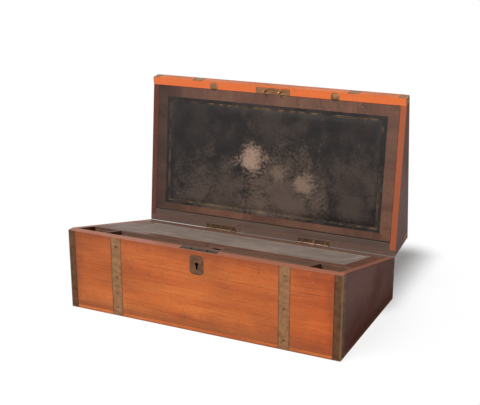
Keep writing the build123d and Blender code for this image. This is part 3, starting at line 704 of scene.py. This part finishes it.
def ink(name):
    """Blue-black ink with a skin on it."""
    material, tree, shader = new_material(name)
    place, _ = shut_coordinates(tree, False)
    skin = noise(tree, place, (500, 500, 500), detail=4)
    colour = blend(tree, step(tree, skin, 0.4, 0.7), srgb(22, 24, 44), srgb(40, 38, 58))
    tree.links.new(colour, shader.inputs["Base Color"])
    shader.inputs["Roughness"].default_value = 0.12
    add_bump(tree, shader, skin, 0.0001)
    return material


# Materials

outside_tones = (srgb(206, 113, 50), srgb(182, 89, 37), srgb(99, 44, 22))
# The end boards' tones are darker than the long boards': partly a darker wood, partly painted shade, for
# the end of the box that is turned from the light.
end_tones = (srgb(128, 64, 40), srgb(104, 50, 32), srgb(66, 32, 22))
rim_tone = srgb(150, 99, 79)
lid_edge_rim = srgb(238, 116, 60)
lid_left_rim = srgb(66, 34, 23)
lid_right_rim = srgb(168, 88, 54)
lid_back_rim = srgb(74, 66, 61)
hinge_rim = srgb(88, 79, 73)
inside_tones = (srgb(110, 82, 68), srgb(90, 67, 56), srgb(58, 42, 35))
lid_inside_tones = (srgb(100, 82, 72), srgb(82, 68, 60), srgb(54, 43, 38))
band_tones = (srgb(116, 76, 58), srgb(92, 58, 44), srgb(54, 34, 27))
lid_band_tones = (srgb(110, 76, 60), srgb(88, 59, 47), srgb(52, 34, 28))
front_end_tints = ((0.83, 0.78, 0.76, 1), (1.04, 0.79, 0.64, 1))
front_top_tint = (0.83, 0.73, 0.73, 1)
lid_band_tints = ((0.26, 0.27, 0.3, 1), (1, 1, 1, 1))
brass_tones = (srgb(194, 146, 105), srgb(146, 106, 77))
screw_tones = (srgb(150, 110, 78), srgb(104, 76, 56))
hinge_tones = (srgb(104, 82, 66), srgb(74, 58, 48))

front_wood = wood("base_mahogany_front", *outside_tones, rim=rim_tone, edge_width=0.045,
                  keyhole_shade=True, end_tints=front_end_tints, top_tint=front_top_tint)
back_wood = wood("base_mahogany_back", *outside_tones, rim=hinge_rim, rim_wood=0.08,
                 shift=(0.7, 0.3, 0.1))
end_wood = wood("base_mahogany_end", *end_tones, rim=rim_tone, grain="y", shift=(0.2, 0.1, 0.4),
                gloss=0.12)
bottom_wood = wood("base_mahogany_bottom", *outside_tones, shift=(0.4, 0.9, 0.2))
lid_front_wood = wood("lid_mahogany_front", *outside_tones, rim=lid_edge_rim, in_lid=True,
                      shift=(0.3, 0.5, 0.7))
lid_back_wood = wood("lid_mahogany_back", *outside_tones, rim=lid_back_rim, rim_wood=0.08,
                     in_lid=True, shift=(0.1, 0.6, 0.9))
lid_top_wood = wood("lid_mahogany_top", *outside_tones, in_lid=True, shift=(0.9, 0.25, 0.6))
lid_left_wood = wood("lid_mahogany_left_end", *end_tones, rim=lid_left_rim, in_lid=True,
                     grain="y", shift=(0.6, 0.3, 0.8))
lid_right_wood = wood("lid_mahogany_right_end", *end_tones, rim=lid_right_rim, in_lid=True,
                      grain="y", shift=(0.4, 0.1, 0.5))
inner_wood = wood("inner_mahogany_long", *inside_tones, shift=(0.15, 0.45, 0.3), polish=0.5,
                  gloss=0.2)
inner_short_wood = wood("inner_mahogany_short", *inside_tones, grain="y", shift=(0.5, 0.2, 0.9),
                        polish=0.5, gloss=0.2)
lid_inner_wood = wood("lid_inner_mahogany", *lid_inside_tones, in_lid=True,
                      shift=(0.8, 0.1, 0.35), polish=0.5, gloss=0.2)
band_down = wood("base_crossband_grain_down", *band_tones, grain="y", shift=(0.1, 0.6, 0.2))
band_across = wood("base_crossband_grain_across", *band_tones, shift=(0.3, 0.8, 0.5))
lid_band_down = wood("lid_crossband_grain_down", *lid_band_tones, in_lid=True, grain="y",
                     shift=(0.2, 0.7, 0.6), end_tints=lid_band_tints)
lid_band_across = wood("lid_crossband_grain_across", *lid_band_tones, in_lid=True,
                       shift=(0.6, 0.2, 0.7), end_tints=lid_band_tints)
base_brass = brass("base_brass", *brass_tones)
lid_brass = brass("lid_brass", *brass_tones, in_lid=True)
corner_brass = brass("corner_brass", srgb(136, 98, 70), srgb(96, 68, 52))
screw_brass = brass("screw_brass", *screw_tones)
lid_screw_brass = brass("lid_screw_brass", *screw_tones, in_lid=True)
hinge_brass = brass("hinge_brass", *hinge_tones, roughness=0.42)
lid_hinge_brass = brass("lid_hinge_brass", *hinge_tones, in_lid=True, roughness=0.42)
lock_brass = brass("lock_brass", srgb(146, 106, 78), srgb(98, 73, 58))
lock_steel = steel("lock_steel")
base_spots = [(0.05, -0.02, 0.118, 0.10, 0.5)]
lid_spots = [(-0.034, 0.002, 0.1125, 0.042, 1.0), (0.018, 0.019, 0.1085, 0.034, 0.42),
             (0.069, 0.036, 0.1045, 0.038, 0.62), (0.03, 0.055, 0.1, 0.13, 0.24),
             (0.165, 0.034, 0.105, 0.10, 0.1), (-0.1, 0.1, 0.089, 0.14, 0.16),
             (0.0, -0.065, 0.128, 0.10, 0.05), (-0.02, 0.076, 0.095, 0.07, 0.3)]
# The base leather is the same dark leather as the lid's, painted much paler: partly dust and wear,
# partly a painted sheen, as the slope is seen at a low angle.
base_leather = leather("base_leather", False, srgb(90, 78, 71), srgb(112, 99, 90),
                       srgb(138, 121, 110), base_leather_s, base_spots, dust=0.3)
lid_leather = leather("lid_leather", True, srgb(27, 24, 24), srgb(44, 38, 36),
                      srgb(146, 121, 104), lid_leather_s, lid_spots, rubbed_from=0.8)
bottle_glass = glass("bottle_glass")
bottle_ink = ink("bottle_ink")


# Boards and fittings that keep their CAD shape

def finish_boards():
    boards = {
        "base_front_wall": front_wood,
        "base_back_wall": back_wood,
        "base_left_end": end_wood,
        "base_right_end": end_wood,
        "base_bottom_board": bottom_wood,
        "lid_front_wall": lid_front_wood,
        "lid_back_wall": lid_back_wood,
        "lid_left_end": lid_left_wood,
        "lid_right_end": lid_right_wood,
        "lid_top_board": lid_top_wood,
    }
    for node, material in boards.items():
        ease = seam_ease if node.endswith("back_wall") else board_ease
        softened_node(node, ease, [material])


def finish_inner_boards():
    inner = {
        "base_hinge_rail": inner_wood,
        "pen_section_divider": inner_wood,
        "pen_tray": inner_wood,
        "inkwell_cell_partitions": inner_short_wood,
        "inkwell_cell_floors": inner_short_wood,
        "pen_tray_bearers": inner_short_wood,
        "base_flap_ledges": inner_short_wood,
        "base_flap_board": inner_wood,
        "lid_hinge_rail": lid_inner_wood,
        "lid_flap_ledges": lid_inner_wood,
        "lid_flap_board": lid_inner_wood,
    }
    for node, material in inner.items():
        softened_node(node, board_ease, [material])


def finish_crossband(node, place, end_s, down, across):
    """The strips at the ends have their grain across, and the long ones down the slope. The faces
    that merging left inside the mitres go."""
    piece = softened_node(node, None, [down, across])
    start_edit(piece)
    bpy.ops.mesh.select_mode(type="FACE")
    bpy.ops.mesh.select_all(action="DESELECT")
    bpy.ops.mesh.select_interior_faces()
    bpy.ops.mesh.delete(type="FACE")
    end_edit()
    piece.data.shade_flat()
    to_slope = place.inverted()
    start_s = end_s[0] - band_w
    for face in piece.data.polygons:
        on_slope = to_slope @ face.center
        from_end = leather_half_w + band_w - abs(on_slope.x)
        from_start = on_slope.y - start_s
        from_hinge = (end_s[1] + hinge_band_w - on_slope.y) * band_w / hinge_band_w
        face.material_index = 1 if from_end < min(from_start, from_hinge) else 0


def finish_brass():
    fittings = {
        "base_strap_left": base_brass,
        "base_strap_right": base_brass,
        "base_corner_left": corner_brass,
        "base_corner_right": corner_brass,
        "escutcheon": lock_brass,
        "hinge_left_base_leaf": hinge_brass,
        "hinge_right_base_leaf": hinge_brass,
        "lid_strap_left": lid_brass,
        "lid_strap_right": lid_brass,
        "lid_corner_caps": lid_brass,
        "lock_link_plate": lid_brass,
        "hinge_left_lid_leaf": lid_hinge_brass,
        "hinge_right_lid_leaf": lid_hinge_brass,
        "inkwell_left_collar": base_brass,
        "inkwell_right_collar": base_brass,
    }
    for node, material in fittings.items():
        softened_node(node, metal_ease, [material])


def dress_kept_nodes():
    """Small nodes whose CAD shape is shown as it is."""
    kept = {
        "lock_case": lock_steel,
        "lock_bolt": lock_steel,
        "hinge_pins": hinge_brass,
        "base_flap_pivots": base_brass,
        "lid_flap_pivots": lid_brass,
        "inkwell_left_cap_pin": base_brass,
        "inkwell_right_cap_pin": base_brass,
    }
    for node, material in kept.items():
        mesh = frame["nodes"][node].data
        mesh.materials.clear()
        mesh.materials.append(material)


# Screws

def slotted_screw():
    """A countersunk screw at the origin, with its head flush with z 0, a fine groove near the
    head's rim and a slot across it."""
    bpy.ops.object.select_all(action="DESELECT")
    bpy.ops.mesh.primitive_cylinder_add(vertices=24, radius=screw_head_r, depth=screw_head_h,
                                        location=(0, 0, -screw_head_h / 2))
    head = bpy.context.object
    bpy.ops.object.transform_apply(location=True, rotation=True, scale=True)
    start_edit(head)
    pick_faces(head, lambda centre, normal: normal.z < -0.9)
    shrink = screw_shank_r / screw_head_r
    bpy.ops.transform.resize(value=(shrink, shrink, 1), center_override=(0, 0, -screw_head_h))
    bpy.ops.mesh.extrude_region_move(TRANSFORM_OT_translate={"value": (0, 0, -screw_shank_length)})
    pick_faces(head, lambda centre, normal: normal.z > 0.9)
    for width, rise in screw_groove:
        bpy.ops.mesh.inset(thickness=width, depth=rise)
    end_edit()
    cut_away(head, new_box(screw_slot))
    return head


def screws(name, places, turns, body, material, node):
    """One screw copied to every place, each with its slot turned its own way."""
    pattern = slotted_screw()
    copies = []
    for place, turn in zip(places, turns):
        screw = duplicate(pattern)
        put(screw, place @ Matrix.Rotation(math.radians(turn), 4, "Z"))
        copies.append(screw)
    bpy.data.objects.remove(pattern)
    joined = join_all(copies, name)
    bpy.ops.object.shade_smooth_by_angle(angle=math.radians(30))
    return dress(joined, body, "aged_brass", material, node)


def make_screws():
    to_front = Matrix.Rotation(math.radians(90), 4, "X")
    front_places = [Matrix.Translation((x, -half_d, z)) @ to_front
                    for x in (-strap_x, strap_x) for z in strap_screw_z]
    screws("base_strap_screw_heads", front_places, (12, 75, 40, 5, 68, 120), "base", screw_brass,
           "base_strap_screws")
    top_places = [open_turn @ Matrix.Translation((x, y, closed_height))
                  for x in (-strap_x, strap_x) for y in lid_strap_screw_y]
    screws("lid_strap_screw_heads", top_places, (8, 95, 30, 64, 140, 22, 81, 50), "lid",
           lid_screw_brass, "lid_strap_screws")
    across = [middle + aside for middle in (-hinge_x, hinge_x)
              for aside in (-leaf_screw_reach, 0, leaf_screw_reach)]
    turns = (35, 80, 10, 55, 125, 70)
    base_places = [base_slope @ Matrix.Translation((x, leaf_screw_s, 0)) for x in across]
    screws("base_hinge_screw_heads", base_places, turns, "base", screw_brass, "base_hinge_screws")
    over = Matrix.Rotation(math.pi, 4, "X")
    lid_places = [lid_slope @ Matrix.Translation((x, leaf_screw_s, 0)) @ over for x in across]
    screws("lid_hinge_screw_heads", lid_places, turns[::-1], "lid", lid_screw_brass, "lid_hinge_screws")


def finish_catch(node, side):
    """A turn catch with a slot across its face for a coin."""
    catch = softened_node(node, metal_ease, [lid_brass])
    slot = new_box(catch_slot)
    put(slot, open_turn @ Matrix.Translation((side * catch_place.x, catch_place.y, catch_place.z)))
    cut_away(catch, slot)


# Leather

def leather_panel(name, place, ends, side, body, material, node):
    """A panel with a tooled double line round it and a field that has moved a little with the years."""
    start, end = ends
    length = end - start
    bpy.ops.object.select_all(action="DESELECT")
    bpy.ops.mesh.primitive_plane_add(size=1)
    panel = bpy.context.object
    panel.name = name
    panel.scale = (2 * leather_half_w, length, 1)
    bpy.ops.object.transform_apply(location=False, rotation=False, scale=True)
    start_edit(panel)
    bpy.ops.mesh.select_all(action="SELECT")
    for width, rise in border_insets:
        bpy.ops.mesh.inset(thickness=width, depth=rise)
    bpy.ops.mesh.subdivide(number_cuts=field_cuts)
    end_edit()
    field = panel.vertex_groups.new(name="field")
    reach_x = leather_half_w - field_margin
    reach_y = length / 2 - field_margin
    for vertex in panel.data.vertices:
        if abs(vertex.co.x) < reach_x and abs(vertex.co.y) < reach_y:
            field.add([vertex.index], 1, "REPLACE")
    cockle = bpy.data.textures.new(name + "_cockle", "CLOUDS")
    cockle.noise_scale = cockle_size
    apply_modifier(panel, "DISPLACE", texture=cockle, strength=cockle_rise, mid_level=0.9,
                   direction="Z", vertex_group="field")
    start_edit(panel)
    bpy.ops.mesh.select_all(action="SELECT")
    bpy.ops.mesh.extrude_region_move(TRANSFORM_OT_translate={"value": (0, 0, -leather_t)})
    bpy.ops.mesh.select_all(action="SELECT")
    bpy.ops.mesh.normals_make_consistent(inside=False)
    end_edit()
    top = Matrix.Translation((0, (start + end) / 2, side * leather_below))
    if side > 0:
        top = top @ Matrix.Rotation(math.pi, 4, "X")
    put(panel, place @ top)
    bpy.ops.object.shade_smooth_by_angle(angle=smooth_angle)
    return dress(panel, body, "dark_leather", material, node)


# Ink bottles

def turned(name, outline, sides=48):
    """A round piece drawn up ring by ring. Each ring is a radius and a height."""
    radius, height = outline[0]
    bpy.ops.object.select_all(action="DESELECT")
    bpy.ops.mesh.primitive_circle_add(vertices=sides, radius=radius, fill_type="NGON")
    piece = bpy.context.object
    piece.name = name
    start_edit(piece)
    bpy.ops.mesh.select_all(action="SELECT")
    bpy.ops.transform.translate(value=(0, 0, height))
    for next_radius, next_height in outline[1:]:
        rise = (0, 0, next_height - height)
        bpy.ops.mesh.extrude_region_move(TRANSFORM_OT_translate={"value": rise})
        share = next_radius / radius
        bpy.ops.transform.resize(value=(share, share, 1), center_override=(0, 0, next_height))
        radius, height = next_radius, next_height
    bpy.ops.mesh.select_all(action="SELECT")
    bpy.ops.mesh.normals_make_consistent(inside=False)
    end_edit()
    return piece


def glass_bottle(name):
    """A square bottle with cut corners, sloping shoulders, a round neck and a round-bottomed well."""
    bottle = new_box((bottle_side, bottle_side, shoulder_h - bottle_foot))
    bottle.name = name
    put(bottle, Matrix.Translation((0, 0, (shoulder_h + bottle_foot) / 2)))
    start_edit(bottle)
    bpy.ops.mesh.select_mode(type="EDGE")
    bpy.ops.mesh.select_all(action="DESELECT")
    end_edit()
    for edge in bottle.data.edges:
        low, high = (bottle.data.vertices[number].co for number in edge.vertices)
        edge.select = abs(low.z - high.z) > bottle_foot
    start_edit(bottle)
    bpy.ops.mesh.bevel(offset=bottle_corner_cut, offset_type="WIDTH", segments=1)
    pick_faces(bottle, lambda centre, normal: normal.z > 0.9)
    bpy.ops.mesh.inset(thickness=bottle_side / 2 - bottle_neck_r - overlap, depth=0)
    bpy.ops.transform.translate(value=(0, 0, neck_foot_h - shoulder_h))
    end_edit()
    cut_away(bottle, turned("neck", neck_outline), "UNION")
    cut_away(bottle, turned("well", well_outline))
    soften(bottle, bottle_ease, segments=3, angle=25)
    return bottle


def bottle_cap(name):
    """A turned brass cap with a bead, a domed crown and the middle knuckle of its hinge."""
    cap = turned(name, cap_outline)
    cut_away(cap, new_box(cap_tongue, (0, cap_tongue_out, cap_hinge_h)), "UNION")
    bpy.ops.mesh.primitive_cylinder_add(
        vertices=24, radius=cap_knuckle_r, depth=cap_knuckle_w,
        location=(0, cap_hinge_out, cap_hinge_h), rotation=(0, math.radians(90), 0))
    cut_away(cap, bpy.context.object, "UNION")
    select_only(cap)
    bpy.ops.object.shade_smooth_by_angle(angle=turned_smooth_angle)
    return cap


def ink_fill(name):
    """What is left of the ink, drawn up a little at the glass."""
    fill = turned(name, ink_outline)
    bpy.ops.object.shade_smooth_by_angle(angle=turned_smooth_angle)
    return fill


def make_ink_bottles():
    for side, name in ((-1, "left"), (1, "right")):
        place = Matrix.Translation((side * bottle_place.x, bottle_place.y, bottle_place.z))
        body = "inkwell_" + name
        bottle = glass_bottle(body + "_glass")
        put(bottle, place)
        dress(bottle, body, "bottle_glass", bottle_glass, body + "_bottle")
        fill = ink_fill(body + "_ink")
        put(fill, place)
        dress(fill, body, "bottle_glass", bottle_ink)
        cap = bottle_cap(body + "_turned_cap")
        put(cap, place)
        dress(cap, body + "_cap", "aged_brass", base_brass, body + "_cap")


# Stage, light and camera

def seen_directly(tree, mirrored):
    """1 for what the camera sees itself or through glass, and less for what it sees in a mirror."""
    path = add(tree, "LightPath").outputs
    through = calc(tree, "MAXIMUM", path["Is Camera Ray"], path["Is Transmission Ray"])
    return calc(tree, "MAXIMUM", through, calc(tree, "MULTIPLY", path["Is Glossy Ray"], mirrored))


def make_stage():
    """A plain pale floor that keeps the soft shadow near the box and is white further out. What
    the camera doesn't see of it is grey, so it lights the box less."""
    bpy.ops.object.select_all(action="DESELECT")
    bpy.ops.mesh.primitive_plane_add(size=12, location=(0, 0, 0))
    floor = bpy.context.object
    floor.name = "floor"
    material, tree, shader = new_material("pale_floor")
    seen = add(tree, "LightPath").outputs["Is Camera Ray"]
    colour = blend(tree, seen, (0.5, 0.5, 0.5, 1), (0.9, 0.9, 0.9, 1))
    tree.links.new(colour, shader.inputs["Base Color"])
    shader.inputs["Roughness"].default_value = 0.9
    shader.inputs["Specular IOR Level"].default_value = 0.0
    place = add(tree, "TexCoord").outputs["Object"]
    away = vector_calc(tree, "LENGTH", place)
    glow = step(tree, away, *white_reach, start=near_glow)
    from_middle = vector_calc(tree, "ABSOLUTE", vector_calc(tree, "SUBTRACT", place, shade_middle))
    past_shade = vector_calc(tree, "SUBTRACT", from_middle, shade_half)
    outside = vector_calc(tree, "MAXIMUM", past_shade, (0, 0, 0))
    from_shade = vector_calc(tree, "LENGTH", outside)
    shaded_glow = calc(tree, "MULTIPLY", glow,
                       step(tree, from_shade, 0.0, shade_fade, start=shade_glow))
    white = add(tree, "Emission", {"Color": (1, 1, 1, 1), "Strength": 1.0}).outputs[0]
    share = calc(tree, "MULTIPLY", seen_directly(tree, 0.0), shaded_glow)
    mixed = add(tree, "MixShader", {0: share, 1: shader.outputs[0], 2: white})
    output = next(node for node in tree.nodes if node.type == "OUTPUT_MATERIAL")
    tree.links.new(mixed.outputs[0], output.inputs[0])
    floor.data.materials.append(material)


def make_world(sky_light, mirrored):
    """White to the camera, weaker in mirrors and weaker still as light on the box."""
    world = bpy.data.worlds.new("studio")
    bpy.context.scene.world = world
    world.use_nodes = True
    tree = world.node_tree
    tree.nodes.clear()
    strength = scale_and_add(tree, seen_directly(tree, mirrored), 1 - sky_light, sky_light)
    sky = add(tree, "Background", {"Color": (1, 1, 1, 1), "Strength": strength})
    output = add(tree, "OutputWorld")
    tree.links.new(sky.outputs[0], output.inputs[0])


def softbox(name, place, target, size, power):
    light = bpy.data.lights.new(name, "AREA")
    light.shape = "DISK"
    light.size = size
    light.energy = power
    lamp = bpy.data.objects.new(name, light)
    bpy.context.scene.collection.objects.link(lamp)
    lamp.location = place
    lamp.rotation_euler = (Vector(target) - Vector(place)).to_track_quat("-Z", "Y").to_euler()


def make_camera():
    """The photograph's viewing angle: from the front, to the right and a little above. The
    distance, the shift aside and the rise are in widths of the box, from a point above its middle."""
    yaw = math.radians(25.62)
    pitch = math.radians(17.195)
    distance, aside, rise = 3.2951, 0.0214, 0.1648
    width = 2 * half_w
    start = Vector((0, 0, 0.1))
    ahead = Vector((-math.sin(yaw), math.cos(yaw), 0))
    forward = ahead * math.cos(pitch) + Vector((0, 0, -math.sin(pitch)))
    right = Vector((math.cos(yaw), math.sin(yaw), 0))
    up = right.cross(forward)
    camera = bpy.data.objects.new("camera", bpy.data.cameras.new("camera"))
    bpy.context.scene.collection.objects.link(camera)
    camera.data.sensor_width = 36
    camera.data.lens = 70.75
    camera.location = start + (right * aside + up * rise - forward * distance) * width
    camera.rotation_euler = forward.to_track_quat("-Z", "Y").to_euler()
    camera.data.clip_start = 0.05
    bpy.context.scene.camera = camera


finish_boards()
finish_inner_boards()
finish_crossband("base_flap_crossband", base_slope, base_leather_s, band_down, band_across)
finish_crossband("lid_flap_crossband", lid_slope, lid_leather_s, lid_band_down, lid_band_across)
finish_brass()
finish_catch("lid_flap_catch_left", -1)
finish_catch("lid_flap_catch_right", 1)
dress_kept_nodes()
make_screws()
leather_panel("base_leather_panel", base_slope, base_leather_s, -1, "base_flap", base_leather,
              "base_flap_leather")
leather_panel("lid_leather_panel", lid_slope, lid_leather_s, 1, "lid_flap", lid_leather,
              "lid_flap_leather")
make_ink_bottles()

make_stage()
make_world(sky_light=0.18, mirrored=0.7)
softbox("key_light", place=(-0.9, -2.5, 3.2), target=(0, 0, 0.1), size=2.4, power=228)
make_camera()

bpy.context.scene.view_settings.view_transform = "Standard"
